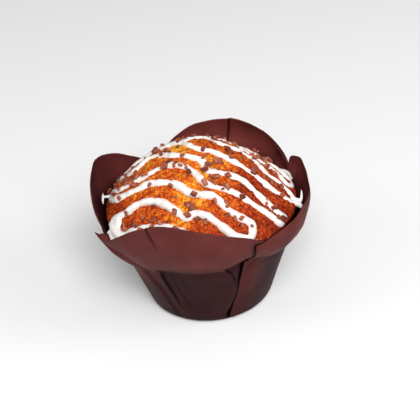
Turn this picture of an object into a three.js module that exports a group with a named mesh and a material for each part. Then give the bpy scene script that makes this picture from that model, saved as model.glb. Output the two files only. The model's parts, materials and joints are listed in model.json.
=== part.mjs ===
// A tulip muffin: a baked cake in a four-petalled paper case, with one zigzag bead of icing
// squeezed across its dome and chopped chocolate stuck along the bead.
//
// Millimetres, +Z up. The origin is the centre of the flat base, and the plain front is at -Y.
import * as THREE from "three";
import { ConvexGeometry } from "three/addons/geometries/ConvexGeometry.js";

// ---------------------------------------------------------------- driving dimensions
const PAPER = 0.5; // the folded paper wall
const GAP = 0.3; // clearance between pieces that touch
const SEAT = 0.4; // the same where a flat underside lies on a curved surface
const BASE_R = 25.4; // the case at the foot of its wall
const FOOT_R = 3; // rounding between base and wall
const WAIST_R = 36.2; // where the wall stops following the baking tin
const WAIST_Z = 33.3;
const WAIST_DIP = 4.5; // the front petal folds out lower at its left, about this azimuth
const WAIST_DIP_AT = -150;
const PETAL_R = 44.8; // least radius of a petal's middle beside the shoulder
const CAKE_R = 40.4; // the cake at its widest
const SHOULDER_Z = 44.5; // the level where it is widest
const DOME_H = 25; // crown above the shoulder
const DOME_BLUNT = 1.7; // exponents of the crown's profile
const DOME_FALL = 0.8;
const CENTRE = [-1.1, -0.3]; // middle of the shoulder in plan
const PEAK = [-3, 2.5]; // the crown leans a little to one side
const BEAD_W = 3.2; // the icing bead
const BEAD_H = 1.3;
const CHIP_WIDE = 0.72; // a piece of chocolate's width and thickness, for a length of 1
const CHIP_THICK = 0.42;
const DRIZZLE_TURN = -27; // degrees from +X to the way the bead runs
const PASS_REACH = 36; // radius in plan at which a pass ends
const TURN_REACH = 38.5; // radius in plan of the loops between passes

// Rim of the paper, once round: azimuth in degrees, radius, height. Four rounded petals and
// the valleys between them.
const RIM = [
  [-161, 43.8, 40], // valley, front left
  [-155.5, 49.3, 47.2], // the front petal's turned-out corner
  [-148, 49, 47.2],
  [-137, 49, 53.5],
  [-109, 48, 62.5], // front petal, leaning out
  [-84, 48, 58.5],
  [-68, 46, 53],
  [-60, 43.8, 44.5], // valley, front right
  [-52, 44, 48],
  [-30, 44.5, 48.5],
  [-8, 45.5, 49.5],
  [14, 45, 53.5], // right petal, the lowest
  [24, 44.5, 51],
  [30, 44, 46.5], // valley, back right
  [38, 42.5, 54],
  [50, 42, 58.5],
  [68, 42, 61.7], // back petal, upright
  [90, 42, 58.7],
  [106, 42.5, 54],
  [118, 43.8, 45], // valley, back left
  [132, 43.8, 50.5],
  [148, 44, 58.5],
  [166, 45.5, 63.5], // left petal, the tallest
  [180, 46.3, 61],
  [190, 46, 52.5],
];

// Soft swellings of the crust: x, y, height, spread.
const LUMPS = [
  [4, 6, 1.6, 13],
  [30, 11, -1.7, 13],
  [18, 27, -1.4, 13],
  [-24, -20, 1.2, 9],
  [6, -30, 1.2, 8],
  [-6, -26, -1.6, 5],
  [0, -14, -1.2, 5],
];

// The drizzle's passes, front to back. Each row holds how far a pass lies from the middle of
// the dome, at even stations along it.
const STATIONS = [-30, -20, -10, 0, 10, 20, 30];
const PASSES = [
  [-34, -36, -35.5, -34.5, -34, -34, -33],
  [-28.5, -28.5, -27, -27.5, -26.5, -26.5, -24],
  [-20, -20.5, -19, -19, -19, -19.5, -18],
  [-16, -15.5, -11, -11, -14, -12, -10.5],
  [-8, -2.5, -5, -5.5, -8, -4, -5.5],
  [1, 5, 4, 0, 2.5, 3, 3],
  [9, 12, 9.5, 10.5, 12, 13, 11],
  [17, 18, 16.5, 18, 19.5, 19.5, 17],
  [24, 25, 24, 25.5, 26.5, 26, 24],
  [31, 32, 31.5, 32.5, 33.5, 33, 31],
];

// Where chocolate lies along each pass, as shares of its length from left to right, with the
// longest side of the piece there.
const CHOCOLATE = [
  [[0.3, 3], [0.62, 3.2], [0.85, 3]],
  [[0.1, 3], [0.33, 3.4], [0.52, 3], [0.64, 4.2], [0.8, 3.2]],
  [[0.08, 3], [0.3, 3], [0.44, 3.2], [0.6, 5], [0.74, 3.8], [0.9, 3.4]],
  [[0.06, 4.2], [0.18, 3.4], [0.36, 4.4], [0.5, 3.4], [0.62, 4.6], [0.82, 4]],
  [[0.14, 4], [0.3, 3.2], [0.44, 3.4], [0.58, 4.4], [0.7, 3.6], [0.95, 3.6]],
  [[0.2, 3.2], [0.36, 3.6], [0.52, 3.4], [0.66, 3], [0.78, 5], [0.94, 3.4]],
  [[0.16, 3.4], [0.4, 4.2], [0.58, 4], [0.74, 3.2], [0.88, 3]],
  [[0.2, 3.4], [0.42, 3.2], [0.6, 4.4], [0.78, 3.4]],
  [[0.2, 3.4], [0.5, 3.6], [0.8, 3.2]],
  [[0.3, 3.6], [0.7, 3.2]],
];

// ---------------------------------------------------------------- finishes
const matte = (name, colour, roughness) =>
  new THREE.MeshStandardMaterial({ name, color: colour, roughness, metalness: 0 });
const CRUST = matte("crust", 0xc86a26, 0.7);
const CASE_PAPER = matte("case_paper", 0x553028, 0.6);
const ICING = matte("icing", 0xf4ece6, 0.35);
const CHOPPED_CHOCOLATE = matte("chocolate", 0x8a4a36, 0.5);

// ---------------------------------------------------------------- helpers
const radians = THREE.MathUtils.degToRad;

// A repeatable stream of numbers from 0 to 1.
function stream(seed) {
  let state = seed;
  return () => {
    state = (state * 1664525 + 1013904223) % 4294967296;
    return state / 4294967296;
  };
}

// A closed skin over rings of equal length that follow one another, with a fan to the first
// and to the last point. Each ring runs anticlockwise for an eye that the rings come towards.
function skin(first, rings, last) {
  const around = rings[0].length;
  const points = [first, ...rings.flat(), last];
  const index = [];
  const at = (ring, k) => 1 + ring * around + (k % around);
  for (let k = 0; k < around; k++) {
    index.push(0, at(0, k + 1), at(0, k));
    index.push(points.length - 1, at(rings.length - 1, k), at(rings.length - 1, k + 1));
    for (let ring = 0; ring + 1 < rings.length; ring++) {
      index.push(at(ring, k), at(ring, k + 1), at(ring + 1, k + 1));
      index.push(at(ring, k), at(ring + 1, k + 1), at(ring + 1, k));
    }
  }
  const geometry = new THREE.BufferGeometry().setFromPoints(points).setIndex(index);
  geometry.computeVertexNormals();
  return geometry;
}

// ---------------------------------------------------------------- paper case
const RIM_CURVE = new THREE.CatmullRomCurve3(
  RIM.map(([azimuth, r, z]) => {
    const a = radians(azimuth);
    return new THREE.Vector3(r * Math.cos(a), r * Math.sin(a), z);
  }),
  true,
  "catmullrom",
  0.5,
);

// Radius of the straight lower wall's outside.
const lowerWall = (z) => BASE_R + ((WAIST_R - BASE_R) * z) / WAIST_Z;

// The outside of the paper in the half plane under one rim point, from the base outwards and
// up: the foot's rounding, the straight wall, then a curve that clears the cake and ends at
// the rim.
function caseProfile(rim) {
  const rimR = Math.hypot(rim.x, rim.y);
  const fromDip = Math.max(0, Math.cos(Math.atan2(rim.y, rim.x) - radians(WAIST_DIP_AT)));
  const waistZ = WAIST_Z - WAIST_DIP * fromDip ** 4;
  const waistR = lowerWall(waistZ);
  const profile = [];
  for (const turn of [0, 30, 60, 90]) {
    const a = radians(turn);
    const z = FOOT_R * (1 - Math.cos(a));
    profile.push([lowerWall(z) - FOOT_R * (1 - Math.sin(a)), z]);
  }
  const wallSteps = 4;
  for (let k = 1; k <= wallSteps; k++) {
    const z = FOOT_R + ((waistZ - FOOT_R) * k) / wallSteps;
    profile.push([lowerWall(z), z]);
  }
  const rise = rim.z - waistZ;
  const level = Math.min((SHOULDER_Z - waistZ) / rise, 0.9); // the shoulder's share of the rise
  const lack = Math.max(0, PETAL_R - waistR - (rimR - waistR) * level);
  const fade = THREE.MathUtils.clamp((rim.z - SHOULDER_Z) / 4, 0, 1); // none in the valleys
  const bulge = fade * Math.min(lack / (4 * level * (1 - level)), 6);
  const petalSteps = 7;
  for (let k = 1; k <= petalSteps; k++) {
    const t = k / petalSteps;
    profile.push([waistR + (rimR - waistR) * t + bulge * 4 * t * (1 - t), waistZ + rise * t]);
  }
  return profile;
}

// The same profile one paper thickness further in.
function lining(profile) {
  return profile.map(([r, z], k) => {
    const [r0, z0] = profile[Math.max(0, k - 1)];
    const [r1, z1] = profile[Math.min(profile.length - 1, k + 1)];
    const length = Math.hypot(r1 - r0, z1 - z0);
    return [r - (PAPER * (z1 - z0)) / length, z + (PAPER * (r1 - r0)) / length];
  });
}

function paperCase() {
  const columns = 96;
  const rims = RIM_CURVE.getPoints(columns).slice(0, columns);
  const outside = rims.map(caseProfile);
  const inside = outside.map((profile) => lining(profile).reverse());
  inside.forEach((profile) => (profile[profile.length - 1][1] = PAPER));
  const whole = outside.map((profile, k) => [...profile, ...inside[k]]);
  const rings = whole[0].map((_, level) =>
    rims.map((p, k) => {
      const a = Math.atan2(p.y, p.x);
      const [r, z] = whole[k][level];
      return new THREE.Vector3(r * Math.cos(a), r * Math.sin(a), z);
    }),
  );
  const middle = new THREE.Vector3(0, 0, 0);
  const geometry = skin(middle, rings, new THREE.Vector3(0, 0, PAPER));
  const mesh = new THREE.Mesh(geometry, CASE_PAPER);
  mesh.name = "tulip_paper_case";
  return mesh;
}

// ---------------------------------------------------------------- cake
// Height that the crust's swellings add at a point in plan.
function lumps(x, y) {
  return LUMPS.reduce(
    (sum, [cx, cy, height, spread]) =>
      sum + height * Math.exp(-((x - cx) ** 2 + (y - cy) ** 2) / spread ** 2),
    0,
  );
}

// Middle in plan of the crown's ring q, from 0 at the peak to 1 at the shoulder.
const crownMiddle = (q) => PEAK.map((peak, axis) => peak + (CENTRE[axis] - peak) * q);

// The crown's surface at ring q.
function crown(q, azimuth) {
  const [middleX, middleY] = crownMiddle(q);
  const x = middleX + q * CAKE_R * Math.cos(azimuth);
  const y = middleY + q * CAKE_R * Math.sin(azimuth);
  const fade = 1 - q ** 6; // the swellings die out at the shoulder
  const z = SHOULDER_Z + DOME_H * Math.max(0, 1 - q ** DOME_BLUNT) ** DOME_FALL;
  return new THREE.Vector3(x, y, z + fade * lumps(x, y));
}

function cake() {
  const columns = 72;
  const azimuths = Array.from({ length: columns }, (_, k) => (2 * Math.PI * k) / columns);
  const ringAt = (r, z) => {
    const lean = Math.max(0, z - WAIST_Z) / (SHOULDER_Z - WAIST_Z);
    const [x, y] = CENTRE.map((middle) => middle * lean);
    return azimuths.map((a) => new THREE.Vector3(x + r * Math.cos(a), y + r * Math.sin(a), z));
  };
  const floor = PAPER + GAP;
  const inset = PAPER + SEAT; // measured level, so it is a little more than square to the wall
  const rings = [
    ringAt(BASE_R - FOOT_R - 0.5, floor),
    ringAt(lowerWall(FOOT_R * 0.6) - inset - 1, FOOT_R * 0.6),
    ringAt(lowerWall(FOOT_R * 1.5) - inset, FOOT_R * 1.5),
    ringAt(lowerWall(WAIST_Z / 2) - inset, WAIST_Z / 2),
    ringAt(lowerWall(WAIST_Z - 1) - inset, WAIST_Z - 1),
    ringAt(lowerWall(WAIST_Z) - inset + 1.4, WAIST_Z + 3),
    ringAt(CAKE_R - 1.6, SHOULDER_Z - 3.6),
    ringAt(CAKE_R - 0.4, SHOULDER_Z - 1.3),
  ];
  for (const q of [1, 0.985, 0.95, 0.9, 0.84, 0.76, 0.67, 0.58, 0.49, 0.4, 0.31, 0.22, 0.13, 0.05])
    rings.push(azimuths.map((a) => crown(q, a)));
  const geometry = skin(new THREE.Vector3(0, 0, floor), rings, crown(0, 0));
  const mesh = new THREE.Mesh(geometry, CRUST);
  mesh.name = "cake";
  return mesh;
}

// A point of the crown's surface above a point in plan, and the way out of the surface there.
function onCrown(x, y) {
  let near = 0;
  let far = 1;
  for (let k = 0; k < 30; k++) {
    const q = (near + far) / 2;
    const [middleX, middleY] = crownMiddle(q);
    const outside = Math.hypot(x - middleX, y - middleY) > q * CAKE_R;
    [near, far] = outside ? [q, far] : [near, q];
  }
  const [middleX, middleY] = crownMiddle(far);
  const azimuth = Math.atan2(y - middleY, x - middleX);
  const point = crown(far, azimuth);
  const step = 0.01;
  const down = crown(Math.min(1, far + step), azimuth).sub(crown(Math.max(0, far - step), azimuth));
  const along = crown(far, azimuth + step).sub(crown(far, azimuth - step));
  return { point, normal: down.cross(along).normalize() };
}

// ---------------------------------------------------------------- icing
const RUN = new THREE.Vector2(1, 0).rotateAround(new THREE.Vector2(), radians(DRIZZLE_TURN));
const ACROSS = new THREE.Vector2(-RUN.y, RUN.x);
const inPlan = (along, across) =>
  RUN.clone().multiplyScalar(along).addScaledVector(ACROSS, across);

// One pass of the bead in plan, left to right, cut off where the dome falls away.
function passPoints(offsets) {
  const curve = new THREE.SplineCurve(offsets.map((o, k) => new THREE.Vector2(STATIONS[k], o)));
  const length = STATIONS[STATIONS.length - 1] - STATIONS[0];
  const offsetAt = (along) =>
    curve.getPoint(THREE.MathUtils.clamp((along - STATIONS[0]) / length, 0, 1)).y;
  const middle = Math.min(Math.abs(offsets[3]), PASS_REACH - 2);
  const reach = Math.sqrt(PASS_REACH ** 2 - middle ** 2);
  const steps = 10;
  return Array.from({ length: steps + 1 }, (_, k) => {
    const along = reach * ((2 * k) / steps - 1);
    return inPlan(along, offsetAt(along));
  });
}

// The whole bead in plan: the passes to and fro, with a loop out at each turn.
function beadInPlan() {
  const route = [];
  PASSES.forEach((offsets, k) => {
    const points = passPoints(offsets);
    if (k % 2 === 0) points.reverse();
    if (k > 0) {
      const turn = route[route.length - 1].clone().add(points[0]);
      route.push(turn.setLength(TURN_REACH));
    }
    route.push(...points);
  });
  return route;
}

function icingBead() {
  const route = new THREE.CatmullRomCurve3(
    beadInPlan().map((p) => new THREE.Vector3(p.x, p.y, 0)),
    false,
    "centripetal",
  );
  const stations = 250;
  const laid = route.getSpacedPoints(stations).map((p) => onCrown(p.x, p.y));
  // The bead's section, from one edge over the top to the other, with a flat foot.
  const section = [
    [-1, 0],
    [-0.8, 0.7],
    [0, 1],
    [0.8, 0.7],
    [1, 0],
  ];
  const rings = laid.map(({ point, normal }, k) => {
    const before = laid[Math.max(0, k - 1)].point;
    const after = laid[Math.min(laid.length - 1, k + 1)].point;
    const side = after.clone().sub(before).cross(normal).normalize();
    return section.map(([s, h]) =>
      point
        .clone()
        .addScaledVector(side, (s * BEAD_W) / 2)
        .addScaledVector(normal, SEAT + h * BEAD_H),
    );
  });
  const cap = (ring) =>
    ring.reduce((sum, p) => sum.add(p), new THREE.Vector3()).divideScalar(ring.length);
  const geometry = skin(cap(rings[0]), rings, cap(rings[rings.length - 1]));
  const mesh = new THREE.Mesh(geometry, ICING);
  mesh.name = "icing_drizzle";
  return mesh;
}

// ---------------------------------------------------------------- chocolate
// A chopped piece: the hull of a box's corners, each pushed in by chance.
function chippedBlock(length, random) {
  const half = new THREE.Vector3(length, length * CHIP_WIDE, length * CHIP_THICK).divideScalar(2);
  const keep = (least) => least + (1 - least) * random();
  const corners = [];
  for (let k = 0; k < 8; k++) {
    const side = new THREE.Vector3(k & 1 ? 1 : -1, k & 2 ? 1 : -1, k & 4 ? 1 : -1);
    const pushed = new THREE.Vector3(keep(0.6), keep(0.6), keep(0.8));
    corners.push(side.multiply(half).multiply(pushed));
  }
  return new ConvexGeometry(corners);
}

function chocolatePiece(place, length, name, random) {
  const { point, normal } = onCrown(place.x, place.y);
  const mesh = new THREE.Mesh(chippedBlock(length, random), CHOPPED_CHOCOLATE);
  const rise = SEAT + BEAD_H + SEAT + (length * CHIP_THICK) / 2;
  mesh.position.copy(point).addScaledVector(normal, rise);
  mesh.quaternion.setFromUnitVectors(new THREE.Vector3(0, 0, 1), normal);
  mesh.rotateZ(2 * Math.PI * random());
  mesh.name = name;
  return mesh;
}

function chocolatePieces() {
  const random = stream(7);
  const pieces = [];
  PASSES.forEach((offsets, pass) => {
    const curve = new THREE.SplineCurve(passPoints(offsets));
    CHOCOLATE[pass].forEach(([share, length]) => {
      const name = `chocolate_piece_${String(pieces.length + 1).padStart(2, "0")}`;
      pieces.push(chocolatePiece(curve.getPoint(share), length, name, random));
    });
  });
  return pieces;
}

// ---------------------------------------------------------------- the muffin
const muffin = new THREE.Group();
muffin.name = "tulip_muffin";
muffin.add(cake(), paperCase(), icingBead(), ...chocolatePieces());

export default muffin;
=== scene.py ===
import json
import logging
import math
from dataclasses import dataclass, field
from enum import Enum
from typing import Any, Sequence

import bmesh
import bpy
import numpy as np
from mathutils import Matrix, Vector

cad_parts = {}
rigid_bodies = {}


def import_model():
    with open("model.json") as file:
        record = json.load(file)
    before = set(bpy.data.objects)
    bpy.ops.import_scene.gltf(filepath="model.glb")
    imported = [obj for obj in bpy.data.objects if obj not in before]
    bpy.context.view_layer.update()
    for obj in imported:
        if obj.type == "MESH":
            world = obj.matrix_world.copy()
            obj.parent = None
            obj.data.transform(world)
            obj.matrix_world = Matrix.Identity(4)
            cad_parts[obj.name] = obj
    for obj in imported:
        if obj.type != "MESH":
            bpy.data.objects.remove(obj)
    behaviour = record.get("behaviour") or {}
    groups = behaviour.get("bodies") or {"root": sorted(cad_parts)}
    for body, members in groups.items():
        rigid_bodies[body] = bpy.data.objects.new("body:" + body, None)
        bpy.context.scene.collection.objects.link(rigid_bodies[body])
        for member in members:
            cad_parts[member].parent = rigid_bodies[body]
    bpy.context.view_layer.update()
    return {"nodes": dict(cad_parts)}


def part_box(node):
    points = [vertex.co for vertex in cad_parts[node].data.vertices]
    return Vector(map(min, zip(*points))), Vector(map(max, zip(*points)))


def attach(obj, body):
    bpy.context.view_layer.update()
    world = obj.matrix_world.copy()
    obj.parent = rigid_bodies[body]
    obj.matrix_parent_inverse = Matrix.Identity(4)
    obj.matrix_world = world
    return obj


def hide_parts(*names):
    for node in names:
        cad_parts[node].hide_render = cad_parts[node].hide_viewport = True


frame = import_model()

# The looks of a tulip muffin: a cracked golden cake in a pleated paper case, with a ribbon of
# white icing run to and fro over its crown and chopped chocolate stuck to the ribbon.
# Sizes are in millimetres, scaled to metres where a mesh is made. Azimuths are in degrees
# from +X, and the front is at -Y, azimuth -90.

log = logging.getLogger("muffin")
MM = 0.001
BODY = "root"

Points = np.ndarray
Knots = Sequence[tuple[float, float]]
Table = Sequence[tuple[float, ...]]
Colour = tuple[float, float, float]
Object = bpy.types.Object
Material = bpy.types.Material
Socket = bpy.types.NodeSocket


# ---- benches
class Bench:
    """Lays nodes in a tree and joins them.

    Args:
        tree: the shader or geometry tree that the nodes go in.
    """

    def __init__(self, tree: bpy.types.NodeTree) -> None:
        """Keeps the tree."""
        self.tree = tree

    def node(self, kind: str, inputs: dict[Any, Any] | None = None, **settings: Any) -> bpy.types.Node:
        """Adds a node.

        Args:
            kind: the node's type.
            inputs: what each input, by name or number, is joined to or set to.
            settings: the node's own properties.

        Returns:
            The new node.
        """
        made = self.tree.nodes.new(kind)
        for name, value in settings.items():
            setattr(made, name, value)
        for key, value in (inputs or {}).items():
            if isinstance(value, Socket):
                self.tree.links.new(value, made.inputs[key])
            else:
                made.inputs[key].default_value = value
        return made

    def result(self, kind: str, inputs: dict[Any, Any] | None = None, **settings: Any) -> Socket:
        """Adds a node, as node() does, and gives its first output."""
        return self.node(kind, inputs, **settings).outputs[0]

    def math(self, operation: str, *values: Any) -> Socket:
        """Adds a Math node whose inputs are the values in order."""
        return self.result("ShaderNodeMath", dict(enumerate(values)), operation=operation)

    def scaled(self, vector: Any, by: Any) -> Socket:
        """Adds a Vector Math node that makes a vector or a colour longer."""
        return self.result("ShaderNodeVectorMath", {0: vector, "Scale": by}, operation="SCALE")


class GeometryTree(Bench):
    """A Geometry Nodes tree with named inputs, run on an object and turned into a plain mesh.

    Args:
        name: the tree's name.
        sizes: its number inputs and the value that each one has.
    """

    def __init__(self, name: str, sizes: dict[str, float]) -> None:
        """Makes the tree with its group input and output."""
        super().__init__(bpy.data.node_groups.new(name, "GeometryNodeTree"))
        face = self.tree.interface
        face.new_socket("Geometry", in_out="INPUT", socket_type="NodeSocketGeometry")
        face.new_socket("Geometry", in_out="OUTPUT", socket_type="NodeSocketGeometry")
        self.sizes = sizes
        self.sockets = {
            size: face.new_socket(size, in_out="INPUT", socket_type="NodeSocketFloat").identifier
            for size in sizes
        }
        self.start = self.node("NodeGroupInput")
        self.geometry = self.start.outputs["Geometry"]

    def size(self, name: str) -> Socket:
        """The output that carries a named size."""
        return self.start.outputs[name]

    def attribute(self, name: str, kind: str = "FLOAT") -> Socket:
        """The value of a mesh attribute."""
        return self.result("GeometryNodeInputNamedAttribute", {"Name": name}, data_type=kind)

    def swell(self, name: str, detail: float = 1.0) -> Socket:
        """Makes noise that swings about 0, from the inputs "NAME size" and "NAME height".

        Args:
            name: what the two inputs' names start with.
            detail: octaves of finer noise.

        Returns:
            Its value in metres.
        """
        at = self.result("GeometryNodeInputPosition")
        scale = self.math("DIVIDE", 1 / MM, self.size(f"{name} size"))
        noise = self.result("ShaderNodeTexNoise", {"Vector": at, "Scale": scale, "Detail": detail})
        height = self.math("MULTIPLY", self.size(f"{name} height"), 2 * MM)
        return self.math("MULTIPLY", self.math("SUBTRACT", noise, 0.5), height)

    def pushed_out(self, geometry: Socket, rise: Socket) -> Socket:
        """Moves a mesh's points along their normals.

        Args:
            geometry: the output that carries the mesh.
            rise: how far each point moves, in metres.

        Returns:
            The moved mesh.
        """
        offset = self.scaled(self.result("GeometryNodeInputNormal"), rise)
        return self.result("GeometryNodeSetPosition", {"Geometry": geometry, "Offset": offset})

    def bake(self, target: Object, geometry: Socket, finish: Material) -> Object:
        """Ends the tree, runs it on an object and keeps the result as the object's own mesh.

        Args:
            target: the object whose mesh goes in.
            geometry: the output that carries the result.
            finish: the material of the result.

        Returns:
            The same object with the new mesh and no modifier.
        """
        real = self.result("GeometryNodeRealizeInstances", {"Geometry": geometry})
        dressed = self.result("GeometryNodeSetMaterial", {"Geometry": real, "Material": finish})
        self.node("NodeGroupOutput", {"Geometry": dressed})
        modifier = target.modifiers.new(self.tree.name, "NODES")
        modifier.node_group = self.tree
        for name, identifier in self.sockets.items():
            modifier[identifier] = float(self.sizes[name])
        return apply_modifiers(target)


# ---- meshes
def apply_modifiers(target: Object) -> Object:
    """Turns an object and its modifiers into a plain mesh.

    Args:
        target: the object.

    Returns:
        The same object, with no modifiers.
    """
    bpy.context.view_layer.update()
    evaluated = target.evaluated_get(bpy.context.evaluated_depsgraph_get())
    before = target.data
    made = bpy.data.meshes.new_from_object(evaluated)
    target.modifiers.clear()
    target.data = made
    made.name = target.name
    bpy.data.meshes.remove(before)
    return target


def mesh_object(
    name: str, points: Points, faces: Sequence[Sequence[int]] = (), edges: Sequence[Sequence[int]] = ()
) -> Object:
    """Makes an object from points in millimetres.

    Args:
        name: the object's name.
        points: one row for each point.
        faces: the points of each face.
        edges: the points of each loose edge.

    Returns:
        The object, in the scene.
    """
    mesh = bpy.data.meshes.new(name)
    mesh.from_pydata((np.asarray(points, float) * MM).tolist(), edges, faces)
    mesh.update()
    made = bpy.data.objects.new(name, mesh)
    bpy.context.scene.collection.objects.link(made)
    return made


def set_attribute(target: Object, name: str, values: Points) -> None:
    """Gives each point of a mesh a number or a vector.

    Args:
        target: the mesh object.
        name: the attribute's name.
        values: one number, or one row of three, for each point.
    """
    values = np.asarray(values, np.float32)
    kind, key = ("FLOAT", "value") if values.ndim == 1 else ("FLOAT_VECTOR", "vector")
    layer = target.data.attributes.get(name) or target.data.attributes.new(name, kind, "POINT")
    layer.data.foreach_set(key, values.ravel())


def read_points(layer: Any, key: str, width: int = 1) -> Points:
    """Reads what each point of a mesh holds.

    Args:
        layer: the mesh's points or the data of one of its attributes.
        key: what is read from each.
        width: how many numbers it has.

    Returns:
        One number, or one row, for each point.
    """
    values = np.empty(len(layer) * width)
    layer.foreach_get(key, values)
    return values if width == 1 else values.reshape(-1, width)


def smooth_faces(target: Object) -> None:
    """Shades a mesh smoothly."""
    target.data.polygons.foreach_set("use_smooth", [True] * len(target.data.polygons))


# ---- curves
def spline(knots: Any, per_span: int, closed: bool = False) -> Points:
    """Runs a Catmull-Rom curve through points.

    Args:
        knots: the points, one row each.
        per_span: how many steps lie between two of them.
        closed: whether the curve comes back to its first point.

    Returns:
        The curve's points.
    """
    p = np.asarray(knots, float)
    p = np.vstack([p[-1], p, p[:2]]) if closed else np.vstack([2 * p[0] - p[1], p, 2 * p[-1] - p[-2]])
    t = np.linspace(0, 1, per_span, endpoint=False)[:, None]
    spans = []
    for a, b, c, d in zip(p, p[1:], p[2:], p[3:]):
        curve = 2 * b + (c - a) * t + (2 * a - 5 * b + 4 * c - d) * t**2 + (3 * b - a - 3 * c + d) * t**3
        spans.append(curve / 2)
    return np.vstack(spans if closed else [*spans, p[-2]])


def eased(knots: Knots, at: Any) -> Points:
    """Reads a curve that eases from knot to knot and never swings past one.

    Args:
        knots: pairs of a place and the value there, in order.
        at: the places to read.

    Returns:
        The values.
    """
    places, values = np.array(knots, float).T
    at = np.clip(np.asarray(at, float), places[0], places[-1])
    rates = np.diff(values) / np.diff(places)
    before, after = np.append(rates[0], rates), np.append(rates, rates[-1])
    both = np.where(before * after > 0, before + after, 1)
    slopes = np.where(before * after > 0, 2 * before * after / both, 0)
    k = np.clip(np.searchsorted(places, at, side="right") - 1, 0, len(places) - 2)
    wide = places[k + 1] - places[k]
    t = (at - places[k]) / wide
    rise = t * t * (3 - 2 * t)
    swing = wide * (slopes[k] * t * (1 - t) ** 2 - slopes[k + 1] * t * t * (1 - t))
    return values[k] + (values[k + 1] - values[k]) * rise + swing


def bell(distance: Any, spread: float) -> Points:
    """A soft bump, 1 in the middle and next to nothing two spreads away."""
    return np.exp(-((np.asarray(distance, float) / spread) ** 2))


def ramp(value: Any, low: float, high: float) -> Points:
    """Goes smoothly from 0 at low to 1 at high."""
    t = np.clip((np.asarray(value, float) - low) / (high - low), 0, 1)
    return t * t * (3 - 2 * t)


def signed(azimuth: Any) -> Points:
    """The same directions, written from -180 to 180 degrees."""
    return (np.asarray(azimuth, float) + 180) % 360 - 180


def from_path(plan: Points, path: Points) -> Points:
    """Measures how far points in plan are from a line.

    Args:
        plan: the points, X and Y in their last axis.
        path: the line's corners, one row each.

    Returns:
        The distances.
    """
    best = np.full(plan.shape[:-1], np.inf)
    for start, end in zip(path, path[1:]):
        way = end - start
        share = np.clip((plan - start) @ way / (way @ way), 0, 1)
        best = np.minimum(best, np.linalg.norm(plan - start - share[..., None] * way, axis=-1))
    return best


# ---- finishes
class Finish(Enum):
    """The material slots that the record names."""

    CRUST = "crust"
    PAPER = "case_paper"
    ICING = "icing"
    CHOCOLATE = "chocolate"


@dataclass(frozen=True)
class Mottle:
    """A noise in a finish: its size in millimetres, its octaves, and how far its value swings."""

    size: float
    detail: float
    swing: float = 1.0
    middle: float = 0.0
    rough: float = 0.5


class Paint(Bench):
    """A material in the making.

    Args:
        name: its name.
        roughness: how matt it is.
        specular: how much it mirrors.
    """

    def __init__(self, name: str, roughness: float, specular: float) -> None:
        """Starts the material with its shader and its output."""
        self.material = bpy.data.materials.new(name)
        self.material.use_nodes = True
        self.material.node_tree.nodes.clear()
        super().__init__(self.material.node_tree)
        constants = {"Roughness": roughness, "Specular IOR Level": specular}
        self.shader = self.node("ShaderNodeBsdfPrincipled", constants)
        self.node("ShaderNodeOutputMaterial", {"Surface": self.shader.outputs[0]})

    def attribute(self, name: str) -> Socket:
        """The value of a mesh attribute."""
        return self.node("ShaderNodeAttribute", attribute_name=name).outputs["Fac"]

    def mottle(self, kind: Mottle) -> Socket:
        """Adds a noise on the object's own coordinates.

        Args:
            kind: its size and strength.

        Returns:
            Its value, which swings about the mottle's middle.
        """
        inputs = {
            "Vector": self.node("ShaderNodeTexCoord").outputs["Object"],
            "Scale": 1 / (kind.size * MM),
            "Detail": kind.detail,
            "Roughness": kind.rough,
        }
        noise = self.result("ShaderNodeTexNoise", inputs)
        return self.math("MULTIPLY_ADD", noise, kind.swing, kind.middle - kind.swing / 2)

    def colours(self, at: Socket, stops: Sequence[tuple[float, Colour]]) -> Socket:
        """Turns a number into a colour.

        Args:
            at: the number.
            stops: places from 0 to 1 with the colour of each.

        Returns:
            The colour.
        """
        made = self.node("ShaderNodeValToRGB", {0: at})
        elements = made.color_ramp.elements
        while len(elements) < len(stops):
            elements.new(0.5)
        for element, (place, colour) in zip(elements, stops):
            element.position = place
            element.color = (*colour, 1)
        return made.outputs[0]

    def cover(self, colour: Socket, height: Socket, bump: float, depth: float) -> Material:
        """Colours the material and gives it its bumps.

        Args:
            colour: the output that carries its colour.
            height: the output that carries the height of its bumps.
            bump: how strongly they show.
            depth: how deep they are, in millimetres.

        Returns:
            The finished material.
        """
        self.tree.links.new(colour, self.shader.inputs["Base Color"])
        bumps = {"Height": height, "Strength": bump, "Distance": depth * MM}
        self.tree.links.new(self.result("ShaderNodeBump", bumps), self.shader.inputs["Normal"])
        return self.material


@dataclass(frozen=True)
class CrustFinish:
    """Baked crumb: yellow where the crown has split, orange over most of it, brown where it caught."""

    stops: tuple[tuple[float, Colour], ...] = (
        (0.0, (0.92, 0.46, 0.045)),
        (0.20, (0.74, 0.190, 0.016)),
        (0.42, (0.57, 0.084, 0.010)),
        (0.66, (0.33, 0.034, 0.009)),
        (1.0, (0.12, 0.011, 0.004)),
    )
    patches: Mottle = Mottle(8.0, 3, swing=0.6)
    grains: Mottle = Mottle(1.5, 3, swing=1.7, rough=0.7)
    specks: Mottle = Mottle(0.6, 1, swing=1.1)
    roughness: float = 0.6
    specular: float = 0.05
    bump: float = 0.8
    depth: float = 0.4

    def build(self) -> Material:
        """Builds the material.

        Returns:
            The material, which reads the mesh's "bake".
        """
        paint = Paint(Finish.CRUST.value, self.roughness, self.specular)
        broad = paint.math("ADD", paint.attribute("bake"), paint.mottle(self.patches))
        fine = paint.math("ADD", paint.mottle(self.grains), paint.mottle(self.specks))
        colour = paint.colours(paint.math("ADD", broad, fine), self.stops)
        return paint.cover(colour, paint.math("MULTIPLY", fine, -1.0), self.bump, self.depth)


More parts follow.
